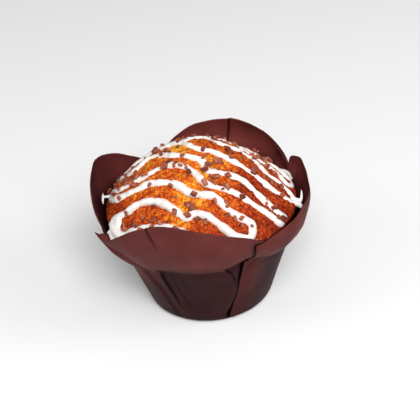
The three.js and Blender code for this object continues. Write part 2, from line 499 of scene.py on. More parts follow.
@dataclass(frozen=True)
class PaperFinish:
    """Dark brown greaseproof paper: petals painted paler and redder as light through one layer, body painted
    darker as shade.
    """

    # body: the paper's brown darkened as painted shade under the flare and against the cake
    body: Colour = (0.027, 0.0075, 0.0085)
    # petal: the paper's brown lightened as painted light through the single free layer
    petal: Colour = (0.137, 0.0310, 0.0280)
    fibres: Mottle = Mottle(0.5, 3, swing=0.36, rough=0.7)
    clouds: Mottle = Mottle(11.0, 2, swing=0.84, middle=1.0)
    shadow: float = 0.92
    crumple: float = 5.14
    roughness: float = 0.5
    specular: float = 0.04
    bump: float = 0.25
    depth: float = 0.167

    def build(self) -> Material:
        """Builds the material.

        Returns:
            The material, which reads "lift", from the body's painted shade at 0 to the petals' painted light
            at 1, and "depth", 1 for the painted shade inside a fold.
        """
        paint = Paint(Finish.PAPER.value, self.roughness, self.specular)
        blend = {"Factor": paint.attribute("lift"), 6: (*self.body, 1), 7: (*self.petal, 1)}
        base = paint.node("ShaderNodeMix", blend, data_type="RGBA", clamp_factor=False).outputs[2]
        fibres, clouds = paint.mottle(self.fibres), paint.mottle(self.clouds)
        # painted shade: "depth" darkens the folds, the creases and the inside towards the cake
        light = paint.math("MULTIPLY_ADD", paint.attribute("depth"), -self.shadow, 1.0)
        shade = paint.math("MULTIPLY", paint.math("ADD", clouds, fibres), light)
        crumples = paint.math("MULTIPLY_ADD", clouds, self.crumple, fibres)
        return paint.cover(paint.scaled(base, shade), crumples, self.bump, self.depth)


@dataclass(frozen=True)
class IcingFinish:
    """White sugar icing with a soft gloss."""

    stops: tuple[tuple[float, Colour], ...] = ((0.30, (0.74, 0.67, 0.61)), (0.46, (0.86, 0.83, 0.80)))
    drags: Mottle = Mottle(5.0, 3, middle=0.5)
    ripples: Mottle = Mottle(1.1, 2)
    glow: float = 0.12
    glow_colour: Colour = (1.0, 0.7, 0.5)
    glow_depth: float = 1.2
    roughness: float = 0.28
    specular: float = 0.5
    bump: float = 0.25
    depth: float = 0.12

    def build(self) -> Material:
        """Builds the material.

        Returns:
            The material, which glows a little from inside.
        """
        paint = Paint(Finish.ICING.value, self.roughness, self.specular)
        paint.shader.inputs["Subsurface Weight"].default_value = self.glow
        paint.shader.inputs["Subsurface Radius"].default_value = self.glow_colour
        paint.shader.inputs["Subsurface Scale"].default_value = self.glow_depth * MM
        colour = paint.colours(paint.mottle(self.drags), self.stops)
        return paint.cover(colour, paint.mottle(self.ripples), self.bump, self.depth)


@dataclass(frozen=True)
class ChocolateFinish:
    """Chopped milk chocolate: paler where a face was scraped, dark in its pores and on its edges."""

    stops: tuple[tuple[float, Colour], ...] = (
        (0.25, (0.085, 0.014, 0.008)),
        (0.45, (0.235, 0.048, 0.021)),
        (0.60, (0.38, 0.094, 0.045)),
        (0.80, (0.50, 0.155, 0.078)),
    )
    faces: Mottle = Mottle(3.2, 2, swing=1.3, middle=0.58)
    pores: Mottle = Mottle(0.5, 2, swing=0.36)
    edge: float = 0.24
    roughness: float = 0.45
    specular: float = 0.3
    bump: float = 0.5
    depth: float = 0.15

    def build(self) -> Material:
        """Builds the material.

        Returns:
            The material, which reads the mesh's "edge".
        """
        paint = Paint(Finish.CHOCOLATE.value, self.roughness, self.specular)
        pores = paint.mottle(self.pores)
        tone = paint.math("ADD", paint.mottle(self.faces), pores)
        tone = paint.math("MULTIPLY_ADD", paint.attribute("edge"), -self.edge, tone)
        return paint.cover(paint.colours(tone, self.stops), pores, self.bump, self.depth)


@dataclass(frozen=True)
class FloorFinish:
    """A plain pale floor."""

    colour: Colour = (0.92, 0.92, 0.92)
    roughness: float = 0.9
    specular: float = 0.1

    def build(self) -> Material:
        """Builds the material."""
        paint = Paint("pale_floor", self.roughness, self.specular)
        paint.shader.inputs["Base Color"].default_value = (*self.colour, 1)
        return paint.material


# ---- cake
@dataclass
class Crown:
    """The domed top of the cake as a surface over points in plan.

    The rings run from 0 at the peak, which leans a little to the back left, to 1 at the
    shoulder, where the cake is widest. Icing and chocolate keep inside the verge.
    """

    low: Points
    high: Points
    shoulder_share: float = 0.63
    dome_share: float = 0.955
    blunt: float = 1.7
    fall: float = 0.8
    verge: float = 0.985
    lean: tuple[float, float] = (-1.9, 2.8)
    swellings: Table = (  # x, y, height and spread
        (4, 6, 1.6, 13),
        (30, 11, -1.7, 13),
        (18, 27, -1.4, 13),
        (-24, -20, 1.2, 9),
        (6, -30, 1.2, 8),
        (-6, -26, -1.6, 5),
        (0, -14, -1.2, 5),
    )

    def __post_init__(self) -> None:
        """Works out the dome's sizes from the cake's box."""
        self.centre = (self.low[:2] + self.high[:2]) / 2
        self.radius = (self.high[0] - self.low[0]) / 2
        self.shoulder = self.shoulder_share * self.high[2]
        self.dome = self.dome_share * (self.high[2] - self.shoulder)
        self.peak = self.centre + np.array(self.lean)

    def ring(self, x: Any, y: Any) -> Points:
        """Finds which ring lies under points in plan.

        Args:
            x: places along X.
            y: places along Y.

        Returns:
            The rings, over 1 outside the shoulder.
        """
        dx, dy = np.asarray(x, float) - self.peak[0], np.asarray(y, float) - self.peak[1]
        drift = self.centre - self.peak
        spare = self.radius**2 - drift @ drift
        along = dx * drift[0] + dy * drift[1]
        return (-along + np.sqrt(along**2 + spare * (dx**2 + dy**2))) / spare

    def plan(self, ring: Points, azimuth: Points) -> tuple[Points, Points]:
        """Places points in plan.

        Args:
            ring: the rings that they lie on.
            azimuth: their directions in radians.

        Returns:
            Their places along X and Y.
        """
        middle_x, middle_y = (
            self.peak[axis] + (self.centre[axis] - self.peak[axis]) * ring for axis in (0, 1)
        )
        out = ring * self.radius
        return middle_x + out * np.cos(azimuth), middle_y + out * np.sin(azimuth)

    def profile(self, ring: Points) -> Points:
        """Height of the bare dome over the shoulder."""
        return self.dome * (1 - ring**self.blunt) ** self.fall

    def height(self, x: Any, y: Any) -> Points:
        """Measures the surface's height.

        Args:
            x: places along X.
            y: places along Y.

        Returns:
            The heights, level with the shoulder outside it.
        """
        ring = np.clip(self.ring(x, y), 0, 1)
        z = self.shoulder + self.profile(ring)
        for cx, cy, rise, spread in self.swellings:
            z = z + (1 - ring**6) * rise * bell(np.hypot(x - cx, y - cy), spread)
        return z

    def normal(self, x: Any, y: Any, step: float = 0.4) -> Points:
        """Finds the way out of the surface.

        Args:
            x: places along X.
            y: places along Y.
            step: how far to each side its slope is measured.

        Returns:
            One unit vector for each point.
        """
        slope_x = (self.height(x + step, y) - self.height(x - step, y)) / (2 * step)
        slope_y = (self.height(x, y + step) - self.height(x, y - step)) / (2 * step)
        out = np.stack([-slope_x, -slope_y, np.ones_like(slope_x)], axis=-1)
        return out / np.linalg.norm(out, axis=-1, keepdims=True)

    def on(self, plan: Points, rise: Any = 0.0) -> Points:
        """Lifts points in plan onto the surface.

        Args:
            plan: one row for each point.
            rise: how far each lies off the surface, square to it.

        Returns:
            The points in space.
        """
        x, y = plan[:, 0], plan[:, 1]
        foot = np.stack([x, y, self.height(x, y)], axis=-1)
        return foot + self.normal(x, y) * np.reshape(rise, (-1, 1))


@dataclass
class Cake:
    """The baked cake: a grained crown over a plain body that the case hides.

    Its tone runs from 0 for pale crumb to 1 for dark crust.
    """

    crown: Crown
    grid: int = 236
    tone: float = 0.43
    brim_from: float = 0.72
    brim_tone: float = 0.27
    toned: Table = (  # x, y, spread and change of tone
        (19.5, -15, 12.5, 0.34),
        (-11, 6.5, 6.5, -0.475),
        (-20, 2.0, 5.0, -0.15),
        (9, -13, 3.2, -0.25),
    )
    split: Knots = (
        (-11, -30), (-9, -27), (-6.4, -23.7), (-3, -18), (0, -14), (2, -11), (5, -8), (9, -5.5),
    )
    split_wide: float = 3.6
    split_until: float = 0.85
    wanders: Table = ((1.2, 0.55, 0.3), (0.8, -0.4, 1.1))  # size, and rates along X and Y
    palest: float = 0.02
    split_tone: float = -0.34
    side: Knots = (  # height and radius, down to the base
        (43.2, 40.1), (41.6, 38.6), (39.4, 36.2), (36.5, 33.6), (33.0, 31.6), (22.0, 28.6),
        (11.0, 25.4), (4.0, 23.2), (1.6, 22.0), (0.8, 20.6),
    )
    side_tone: float = 0.95
    side_grain: float = 0.3
    grain: dict[str, float] = field(default_factory=lambda: {
        "Swell size": 9.0,
        "Swell height": 0.75,
        "Crumb size": 1.9,
        "Crumb height": 0.5,
        "Grain size": 0.9,
        "Grain height": 0.26,
        "Split depth": 0.9,
    })

    def crown_points(self, stations: int = 2000) -> tuple[Points, Points, Points]:
        """Lays a square grid over the round crown, with its steps even along the slope.

        Args:
            stations: how many places the slope is measured at.

        Returns:
            The points' places along X and Y, and their rings.
        """
        steps = np.linspace(-1, 1, self.grid + 1)
        a, b = np.meshgrid(steps, steps, indexing="ij")
        wide = np.abs(a) >= np.abs(b)
        share = np.where(wide, a, b)
        turn = math.pi / 4 * np.where(wide, b, a) / np.where(share == 0, 1, share)
        azimuth = np.where(wide, turn, math.pi / 2 - turn) + np.where(share < 0, math.pi, 0)
        ring = np.linspace(0, 1, stations)
        slope = np.hypot(np.diff(ring) * self.crown.radius, np.diff(self.crown.profile(ring)))
        slope = np.concatenate([[0], np.cumsum(slope)])
        rings = np.interp(np.abs(share), slope / slope[-1], ring)
        x, y = self.crown.plan(rings, azimuth)
        return x, y, rings

    def bake_tone(self, x: Points, y: Points, ring: Points) -> tuple[Points, Points]:
        """Says how brown the crust is and where it has split.

        Args:
            x: places along X.
            y: places along Y.
            ring: their rings.

        Returns:
            The tone and the split, both from 0 to 1.
        """
        wander = sum(size * np.sin(along * x + across * y) for size, along, across in self.wanders)
        gap = from_path(np.stack([x + wander, y - wander], axis=-1), np.array(self.split, float))
        split = bell(gap, self.split_wide) * ramp(ring, 1.0, self.split_until)
        tone = self.tone + self.brim_tone * ramp(ring, self.brim_from, 1.0) + self.split_tone * split
        for cx, cy, spread, change in self.toned:
            tone = tone + change * bell(np.hypot(x - cx, y - cy), spread)
        return np.clip(tone, self.palest, 1), split

    def body(self, top: Points, verge: Points) -> tuple[Points, list[list[int]]]:
        """Closes the crown with the body below it.

        Args:
            top: the crown's points.
            verge: which of them lie along its edge, in order.

        Returns:
            The body's points, which follow the crown's, and its faces.
        """
        out = top[verge, :2] - self.crown.centre
        out = out / np.linalg.norm(out, axis=1, keepdims=True)
        points, faces = [], []
        above, count = verge, len(verge)
        for number, (z, radius) in enumerate(self.side):
            lean = self.crown.centre * np.clip(z / self.crown.shoulder, 0, 1)
            points.append(np.column_stack([lean + out * radius, np.full(count, z)]))
            below = len(top) + number * count + np.arange(count)
            sides = np.stack([above, below, np.roll(below, -1), np.roll(above, -1)], axis=-1)
            faces += sides.tolist()
            above = below
        return np.vstack(points), [*faces, above[::-1].tolist()]

    def build(self, finish: Material) -> Object:
        """Builds the cake.

        Args:
            finish: its material.

        Returns:
            The cake.
        """
        x, y, ring = self.crown_points()
        tone, split = self.bake_tone(x, y, ring)
        top = np.stack([x, y, self.crown.height(x, y)], axis=-1).reshape(-1, 3)
        at = np.arange(len(top)).reshape(x.shape)
        quads = np.stack([at[:-1, :-1], at[1:, :-1], at[1:, 1:], at[:-1, 1:]], axis=-1).reshape(-1, 4)
        verge = np.concatenate([at[:-1, 0], at[-1, :-1], at[:0:-1, -1], at[0, :0:-1]])
        below, faces = self.body(top, verge)
        cake = mesh_object("baked_cake", np.vstack([top, below]), quads.tolist() + faces)
        hidden = np.ones(len(below))
        set_attribute(cake, "bake", np.concatenate([tone.ravel(), hidden * self.side_tone]))
        set_attribute(cake, "split", np.concatenate([split.ravel(), hidden * 0]))
        set_attribute(cake, "crust", np.concatenate([np.ones(len(top)), hidden * self.side_grain]))
        self.raise_grain(cake, finish)
        smooth_faces(cake)
        return cake

    def raise_grain(self, cake: Object, finish: Material) -> None:
        """Raises the crumb's grain out of the smooth crown.

        Args:
            cake: the cake, with its attributes.
            finish: its material.
        """
        tree = GeometryTree("crumb_grain", self.grain)
        split = tree.attribute("split")
        fine = tree.math("ADD", tree.swell("Crumb"), tree.swell("Grain"))
        fine = tree.math("MULTIPLY", fine, tree.math("ADD", split, 1.0))
        sunk = tree.math("MULTIPLY", split, tree.math("MULTIPLY", tree.size("Split depth"), -MM))
        rise = tree.math("ADD", tree.math("ADD", tree.swell("Swell", 2.0), fine), sunk)
        rise = tree.math("MULTIPLY", rise, tree.attribute("crust"))
        tree.bake(cake, tree.pushed_out(tree.geometry, rise), finish)


# ---- paper case
@dataclass(frozen=True)
class Pleat:
    """One tuck of the sheet, as curves over the level: 0 at the foot, 1 at the waist, 2 at the rim.

    The panel that follows the fold lies outside, and the panel before it runs in under it. Fold
    and seam are azimuths, and the seam is where the panel's points lie closest. The panel sinks
    by the recess over the last millimetres before the fold, which sink_from counts, and then
    runs on under it for the length of the tuck. The curl stands the fold off.
    """

    fold: Knots
    seam: Knots = ()
    tuck: Knots = ((0, 0.0), (0.1, 1.5), (1, 9.0), (2, 6.0))
    sink_from: Knots = ((0, 3.0), (2, 4.0))
    recess: Knots = ((0, 0.0), (0.12, 1.2), (2, 1.2))
    curl: Knots = ((0, 0.0), (0.2, 0.3), (1, 0.5), (2, 0.15))
    lip: float = 0.1
    shadow: float = 0.3
    drop_from: float = 3.0
    drop: float = 0.0


@dataclass(frozen=True)
class Crease:
    """A crease down a panel, as curves over the level.

    The sheet steps in to the right of the line and comes out again further on.
    """

    path: Knots
    step: Knots
    # dark: how strong the painted shade along the crease is
    dark: float = 0.0
    wide: float = 0.35
    back: float = 20.0
    slope: tuple[float, float] = (-0.2, 0.3)
    rise_to: float = 0.8
    darkest: float = 0.15


@dataclass
class Row:
    """One row of a panel at one level, with the tuck that takes it in under the next panel.

    Its steps are millimetres along the row, past a fold, about a seam or about the place where
    the panel starts to sink.
    """

    start: Pleat
    end: Pleat
    round_on: float
    level: float
    radius: float
    layer: float
    columns: int
    past_fold: Sequence[float] = (0, 0.25, 0.6, 1.1, 1.8, 2.8, 4.2, 6.0)
    by_seam: Sequence[float] = (-0.9, -0.45, -0.2, 0, 0.2, 0.45, 0.9, 1.8)
    by_edge: Sequence[float] = (-1.6, -0.8, -0.35, -0.1, 0.1, 0.3, 0.6, 0.9)
    mouth: float = 0.3
    curled: float = 5.5
    bow: tuple[float, float, float] = (6.5, 4.0, 0.45)  # place, spread and share of the curl
    lip_wide: float = 0.4
    # painted shade: a dark line along the fold's edge and a dark gap beside the fold
    arc: tuple[float, float] = (0.35, 0.45)  # the dark line along the edge: place and spread
    gap: tuple[float, float] = (-2.0, -0.5)  # the dark beside the fold: from and to
    foot_gap: tuple[float, float, float] = (0.14, 0.09, 1.3)  # level, spread and how much wider
    edge_columns: int = 8
    tuck_columns: int = 7
    back_columns: int = 6

    def __post_init__(self) -> None:
        """Reads both pleats at the level, from the foot up."""
        v = max(self.level, 0.0)
        opened = float(ramp(v, 0.0, 0.1))
        self.degree = 180 / (math.pi * self.radius)
        self.fold = float(eased(self.start.fold, v))
        self.next_fold = float(eased(self.end.fold, v)) + self.round_on
        middle = (self.fold + self.next_fold) / 2
        self.seam = float(eased(self.start.seam, v)) if self.start.seam else middle
        self.tuck, self.sink = float(eased(self.end.tuck, v)), float(eased(self.end.sink_from, v))
        self.recess = float(eased(self.end.recess, v)) * opened
        self.curl, self.next_curl = (float(eased(p.curl, v)) * opened for p in (self.start, self.end))
        self.layer = min(self.layer, self.recess / 3)
        self.tight = min(self.layer / 2, self.tuck / 4)
        self.folded = float(ramp(v, 0.05, 0.3) * ramp(v, 1.25, 1.05))
        level, spread, more = self.foot_gap
        self.gap_wide = 1 + more * float(bell(v - level, spread))

    def outer(self) -> Points:
        """Lays the points from the fold to the end of the tuck.

        Returns:
            Their azimuths.
        """
        room = min(1.0, (self.seam - self.fold) / self.degree * 0.45 / self.past_fold[-1])
        first = self.fold + self.degree * (self.tight + room * np.array(self.past_fold))
        seam = self.seam + self.degree * np.array(self.by_seam)
        edge = self.next_fold + self.degree * (np.array(self.by_edge) - self.sink)
        mouth = self.next_fold - self.mouth * self.degree
        return np.concatenate([
            first,
            np.linspace(first[-1], seam[0], self.edge_columns)[1:-1],
            seam,
            np.linspace(seam[-1], edge[0], self.columns)[1:-1],
            edge,
            np.linspace(edge[-1], mouth, self.edge_columns)[1:],
            np.linspace(mouth, self.last(), self.tuck_columns)[1:],
        ])

    def last(self) -> float:
        """Azimuth where the tuck starts to turn back."""
        return self.next_fold + (self.tuck - self.tight) * self.degree

    def sunk(self, azimuth: Points) -> tuple[Points, Points]:
        """Sinks the outer points below the outermost layer.

        Args:
            azimuth: their directions.

        Returns:
            How deep each lies, and the painted shade that the fold casts on it.
        """
        beside = (azimuth - self.fold) / self.degree
        into = (azimuth - self.next_fold) / self.degree + self.sink
        (bow_at, bow_wide, bow), (arc_at, arc_wide) = self.bow, self.arc
        depth = self.curl * (1 - ramp(beside, 0, self.curled) - bow * bell(beside - bow_at, bow_wide))
        step = self.end.lip * np.clip(into / self.lip_wide, 0, 1)
        depth = depth + self.recess * (step + (1 - self.end.lip) * np.clip(into / self.sink, 0, 1))
        arc = self.folded * bell(into - arc_at, arc_wide)
        gap = ramp((into - self.sink) / self.gap_wide, *self.gap)
        return depth, self.end.shadow * np.maximum(arc, gap)

    def folded_back(self) -> tuple[Points, Points]:
        """Lays the hidden layer that runs back inside the tuck to the next fold.

        Returns:
            Its azimuths and depths.
        """
        turns = np.radians([45, 90, 135])
        turn = self.tight * self.degree
        out = self.next_curl + self.layer
        return (
            np.concatenate([
                self.last() + turn * np.sin(turns),
                np.linspace(self.last(), self.next_fold + turn, self.back_columns),
                self.next_fold + turn * (1 - np.sin(turns)),
            ]),
            np.concatenate([
                self.recess - self.layer * (1 - np.cos(turns)) / 2,
                np.linspace(self.recess - self.layer, out, self.back_columns),
                out - self.layer * (1 - np.cos(turns)) / 2,
            ]),
        )

    def laid(self) -> tuple[Points, ...]:
        """Lays the whole row.

        Returns:
            The azimuths, how deep each point lies under the outermost layer, the share of the
            rim's rise that the sheet reaches there, and the painted shade of the fold there.
        """
        outer = self.outer()
        depth, dark = self.sunk(outer)
        back, back_depth = self.folded_back()
        past = (outer - self.next_fold) / self.degree
        reach = 1 - self.end.drop * ramp(past, -self.end.drop_from, self.tuck)
        return (
            np.concatenate([outer, back]),
            np.concatenate([depth, back_depth]),
            np.concatenate([reach, np.linspace(1 - self.end.drop, 1, len(back))]),
            np.concatenate([dark, np.linspace(self.end.shadow, 0, len(back))]),
        )


@dataclass
class PaperCase:
    """The tulip case: one square sheet folded round a flat base, with four pleats and petals."""

    base: float = 26.3
    foot: float = 2.6
    waist: float = 37.4
    waist_level: float = 33.3
    petal: float = 44.8
    shoulder: float = 44.5
    paper: float = 0.26
    layer: float = 0.42
    columns: int = 34
    weld: float = 0.02
    bulge: float = 6.0
    bulge_fade: float = 4.0
    bulge_share: float = 0.9
    # painted light and shade on the outer face: "lift" runs from the body's painted shade to the petals'
    # painted light
    outer_lift: float = 0.66
    hem_tone: float = 0.66
    # painted highlight along the front right fold's edge, its strength and its width
    lit_strip_tone: tuple[float, float] = (0.18, 0.6)  # at the foot and higher up
    lit_strip_wide: tuple[float, float] = (24, 4)  # degrees from its fold, fading out and full
    # the hanging layer's paler tone: partly the petal paper's own, partly painted light
    hanging_tone_and_light: tuple[float, float] = (0.08, 0.98)
    # painted light and shade inside: the left petal painted darker, the back one paler, and shade painted
    # towards the cake
    shaded_left_inside: float = 0.6
    lit_back_inside: float = 0.7
    inside_shade_levels: tuple[float, float] = (1.6, 1.15)  # levels that the inside darkens between
    corner_bulge: tuple[float, float, float] = (-144, 17, 2.3)  # azimuth, spread and size
    rim: Table = (  # azimuth, radius and height
        (-162, 44.6, 41), (-155.5, 50, 47.2), (-148, 49.2, 46.0), (-138, 49, 51.5), (-124, 48.6, 59.5),
        (-109, 48, 63.0), (-84, 48, 58.5), (-68, 46, 52.3), (-60, 44.6, 47.6), (-52, 44.2, 47.9),
        (-30, 44.0, 48.5), (-8, 45.0, 49.5), (14, 45, 53.3), (22, 44.6, 52.8), (26.5, 44.2, 51.0),
        (28.8, 43.8, 46.3), (33, 43, 51.2), (40, 42.4, 55.6), (50, 42, 59.2), (68, 42, 61.8),
        (90, 42, 59.1), (104, 42.5, 53.7), (118, 43.8, 45), (132, 43.8, 50.5), (148, 44, 58.3),
        (166, 45.5, 62.8), (180, 46.0, 60), (190, 46.4, 52.5),
    )
    hem: Knots = (  # azimuth, and the height where the petals turn out
        (-180, 32.8), (-165, 28.5), (-155, 27.4), (-147, 27.3), (-138, 29.0), (-127, 31.0), (-119, 32.4),
        (-110, 33.5), (-102, 34.1), (-87, 34.3), (-80, 34.4), (-76, 34.9), (-71, 35.9), (-66, 36.4),
        (-60.5, 36.2), (-57, 34.9), (-53, 34.1), (-44, 32.1), (-34, 30.8), (-20, 31.5), (0, 32.9),
        (180, 32.8),
    )
    waves: Table = (  # size, waves round, twist and start
        (0.22, 5, 2.3, 0.6), (0.16, 9, -3.1, 2.0), (0.10, 17, 5.0, 1.1), (0.07, 29, -7.0, 0.0),
    )
    hem_swell: float = 0.1
    hem_swellings: Table = ((-68, 12, 0.7), (-40, 22, 0.45))  # azimuth, spread and height
    hem_line: tuple[float, float] = (1.035, 0.035)  # level and spread
    groove: tuple[float, float, float] = (0.96, 0.04, 0.3)  # level, spread and depth
    groove_from: tuple[float, float] = (-138, -122)  # azimuths that it deepens between
    front_left: Pleat = Pleat(  # the front petal stands outside the left one
        fold=((0, -119), (0.25, -123), (0.52, -127), (0.76, -132), (1, -136.5), (1.4, -139),
              (1.75, -144), (1.9, -149), (2, -157.5)),
        seam=((0, -111), (0.35, -118), (0.54, -120), (0.73, -122.5), (0.86, -123.7), (1.05, -124.8),
              (1.13, -125), (1.35, -119), (1.55, -114.2), (1.64, -115), (1.82, -117), (2, -119)),
        sink_from=((0, 2.0), (1, 2.5), (2, 4.0)),
        recess=((0, 0.0), (0.12, 0.6), (1, 0.7), (1.5, 2.2), (2, 4.2)),
        drop_from=4.2,
        drop=0.3,
    )
    front_right: Pleat = Pleat(  # the front sinks in a long facet beside it
        fold=((0, -76), (0.1, -74.5), (0.32, -71.7), (0.5, -69.5), (0.63, -69.0), (0.78, -68.2),
              (0.93, -67.3), (1.04, -66), (1.22, -63.5), (1.6, -64.2), (1.75, -64.2), (2, -56.5)),
        sink_from=((0, 1.2), (0.06, 1.6), (0.15, 2.4), (0.28, 1.5), (0.5, 1.3), (0.6, 1.6), (0.69, 2.4),
                   (0.81, 4.3), (0.9, 5.9), (1.02, 9.7), (1.1, 10.0), (1.25, 4.0), (2, 3.0)),
        recess=((0, 0.0), (0.05, 1.5), (0.14, 2.4), (0.32, 1.3), (0.5, 1.3), (0.75, 2.0), (1.02, 2.4),
                (1.15, 1.6), (1.3, 0.8), (2, 0.7)),
        curl=((0, 0.0), (0.2, 0.6), (0.6, 0.9), (1, 0.7), (1.3, 0.2), (2, 0.1)),
        lip=0.32,
        shadow=1.0,
    )
    back_right: Pleat = Pleat(
        fold=((0, 43), (0.4, 37), (1, 31), (1.5, 29), (2, 29)),
        seam=((0, 80), (1, 77), (1.5, 73.5), (2, 70)),
    )
    back_left: Pleat = Pleat(
        fold=((0, 108), (0.4, 113), (1, 118), (1.5, 117), (2, 116)),
    )
    layer_edge: Crease = Crease(  # runs down beside the front left fold
        path=((0, -111), (0.35, -118), (0.54, -120), (0.73, -122.5), (0.86, -123.7), (1.13, -125)),
        step=((0.2, 0), (0.45, 0.8), (0.9, 1.1), (1.06, 0.6), (1.12, 0)), dark=1.0, wide=0.5,
    )
    creases: tuple[Crease, ...] = (
        Crease(  # two soft ones beside the layer's edge
            path=((0.23, -103.2), (0.38, -109.5), (0.62, -114.2), (0.76, -115.2), (1.11, -119)),
            step=((0.12, 0), (0.35, 0.25), (0.95, 0.3), (1.05, 0)), dark=0.35, wide=0.6, back=6.0,
        ),
        Crease(
            path=((0.55, -106.2), (0.71, -108.7), (1.04, -111.7)),
            step=((0.45, 0), (0.7, 0.2), (0.95, 0.2), (1.02, 0)), dark=0.2, wide=0.6, back=6.0,
        ),
        Crease(  # the slit in the front petal
            path=((1.5, -113.6), (1.64, -115), (1.82, -117), (2, -119)),
            step=((1.58, 0), (1.72, 0.45), (2, 0.6)), dark=0.95, back=12.0,
        ),
        Crease(  # the back petal's fold
            path=((1, 77), (1.5, 73.5), (2, 70)),
            step=((1.2, 0), (1.5, 0.6), (2, 0.7)), dark=1.0, wide=0.45, back=14.0,
        ),
        Crease(  # two small flaps where the right panel is folded over
            path=((0.93, -67), (0.99, -65.2), (1.08, -60), (1.14, -56.5)),
            step=((0.95, 0), (1, 0.5), (1.08, 0.5), (1.12, 0)), dark=1.0, wide=0.5, back=4.0,
        ),
        Crease(
            path=((0.82, -67), (0.88, -64.5), (0.98, -60.5), (1.08, -56.7), (1.12, -55)),
            step=((0.84, 0), (0.9, 0.5), (1.06, 0.5), (1.1, 0)), dark=0.9, wide=0.5, back=4.0,
        ),
    )

    def __post_init__(self) -> None:
        """Reads the rim's curve all round."""
        a, r, z = np.array(self.rim, float).T
        a = np.radians(a)
        curve = spline(np.column_stack([r * np.cos(a), r * np.sin(a), z]), 16, closed=True)
        azimuth = np.degrees(np.arctan2(curve[:, 1], curve[:, 0])) % 360
        order = np.argsort(azimuth)
        self.rim_at = azimuth[order]
        self.rim_r = np.hypot(curve[order, 0], curve[order, 1])
        self.rim_z = curve[order, 2]

    def read_rim(self, azimuth: Points) -> list[Points]:
        """The rim's radius and height in some directions."""
        at = azimuth % 360
        return [np.interp(at, self.rim_at, values, period=360) for values in (self.rim_r, self.rim_z)]

    def wall(self, z: Any) -> Points:
        """Radius of the straight wall at a height."""
        return self.base + (self.waist - self.base) * np.asarray(z, float) / self.waist_level

    def shape(self, azimuth: Points, level: Points) -> tuple[Points, Points]:
        """Follows the smooth case, before its pleats.

        Args:
            azimuth: directions in degrees.
            level: from -1 at the middle of the base over 0 at the foot and 1 at the waist to 2
                at the rim.

        Returns:
            Radii and heights.
        """
        waist_z = eased(self.hem, signed(azimuth))
        rim_r, rim_z = self.read_rim(azimuth)
        z = waist_z * np.clip(level, 0, 1)
        corner = np.clip(1 - z / self.foot, 0, 1)
        r = self.wall(z) - self.foot * (1 - np.sqrt(1 - corner**2))
        r = np.where(level < 0, (self.wall(0) - self.foot) * (1 + level), r)
        waist_r = self.wall(waist_z)
        rise = rim_z - waist_z
        share = np.minimum((self.shoulder - waist_z) / rise, self.bulge_share)
        lack = np.maximum(0, self.petal - waist_r - (rim_r - waist_r) * share)
        fade = np.clip((rim_z - self.shoulder) / self.bulge_fade, 0, 1)
        corner_at, corner_wide, corner_size = self.corner_bulge
        bulge = fade * np.minimum(lack / (4 * share * (1 - share)), self.bulge)
        bulge = bulge + corner_size * bell(signed(azimuth - corner_at), corner_wide)
        t = np.clip(level - 1, 0, 1)
        r = np.where(level > 1, waist_r + (rim_r - waist_r) * t + bulge * 4 * t * (1 - t), r)
        return r, z + rise * t

    def relief(self, azimuth: Points, level: Points) -> Points:
        """Makes the sheet uneven.

        Args:
            azimuth: directions in degrees.
            level: their levels.

        Returns:
            How far each point lies outwards.
        """
        around, turn = np.radians(azimuth), signed(azimuth)
        soft = sum(size * np.sin(count * around + twist * level + start)
                   for size, count, twist, start in self.waves)
        swell = self.hem_swell + sum(
            size * bell(turn - at, spread) for at, spread, size in self.hem_swellings
        )
        (hem_at, hem_wide), (groove_at, groove_wide, deep) = self.hem_line, self.groove
        swell = swell * bell(level - hem_at, hem_wide)
        groove = deep * bell(level - groove_at, groove_wide) * ramp(turn, *self.groove_from)
        return ramp(level, 0.15, 0.6) * soft + swell - groove

    def creased(self, azimuth: Points, level: Points) -> tuple[Points, Points]:
        """Creases the sheet.

        Args:
            azimuth: directions in degrees.
            level: their levels.

        Returns:
            How far each point lies inwards, and the painted shade in the creases.
        """
        turn = signed(azimuth)
        arc = math.radians(1) * self.wall(self.waist_level * np.clip(level, 0, 1))
        inwards, dark = np.zeros_like(turn), np.zeros_like(turn)
        for crease in (self.layer_edge, *self.creases):
            beside = (turn - eased(crease.path, level)) * arc
            step = np.interp(level, *np.array(crease.step, float).T)
            most = max(size for _, size in crease.step)
            inwards = inwards + step * ramp(beside, *crease.slope) * ramp(beside, crease.back, crease.rise_to)
            shade = crease.dark * step / most * bell(beside - crease.darkest, crease.wide)
            dark = np.maximum(dark, shade)
        return inwards, dark

    def lift(self, azimuth: Points, level: Points) -> Points:
        """Says how much of the petals' paler red brown, painted light through their single layer, the outer
        face shows.

        The petals show it; the strip beside the front right fold shows it as a painted highlight along the
        fold's edge;
        and the layer left of the front left one, which hangs down from its petal, shows its paler tone and
        painted light.

        Args:
            azimuth: directions in degrees.
            level: their levels.

        Returns:
            0 for the body's painted shade to 0.66 for the petals' painted light.
        """
        turn = signed(azimuth)
        paler = self.hem_tone + (1 - self.hem_tone) * ramp(level, 1.02, 1.32)
        petal = ramp(level, 0.99, 1.04) * paler
        beside = turn - eased(self.front_right.fold, level)
        # painted highlight along the front right fold's edge
        low, high = self.lit_strip_tone
        strip = ramp(beside, -0.5, 0.5) * ramp(beside, *self.lit_strip_wide)
        strip = strip * (low + (high - low) * ramp(level, 0.1, 0.7))
        # the hanging layer: its own paler tone with painted light
        left = ramp(turn - eased(self.layer_edge.path, level), 0.5, -0.5) * ramp(turn, -180, -162)
        hanging = ramp(level, 0.5, 1.02) * (0.45 + 0.55 * ramp(turn, -126, -146))
        low, high = self.hanging_tone_and_light
        left = left * (low + (high - low) * hanging)
        return self.outer_lift * np.maximum(petal, np.maximum(strip, left) * (turn < 0))

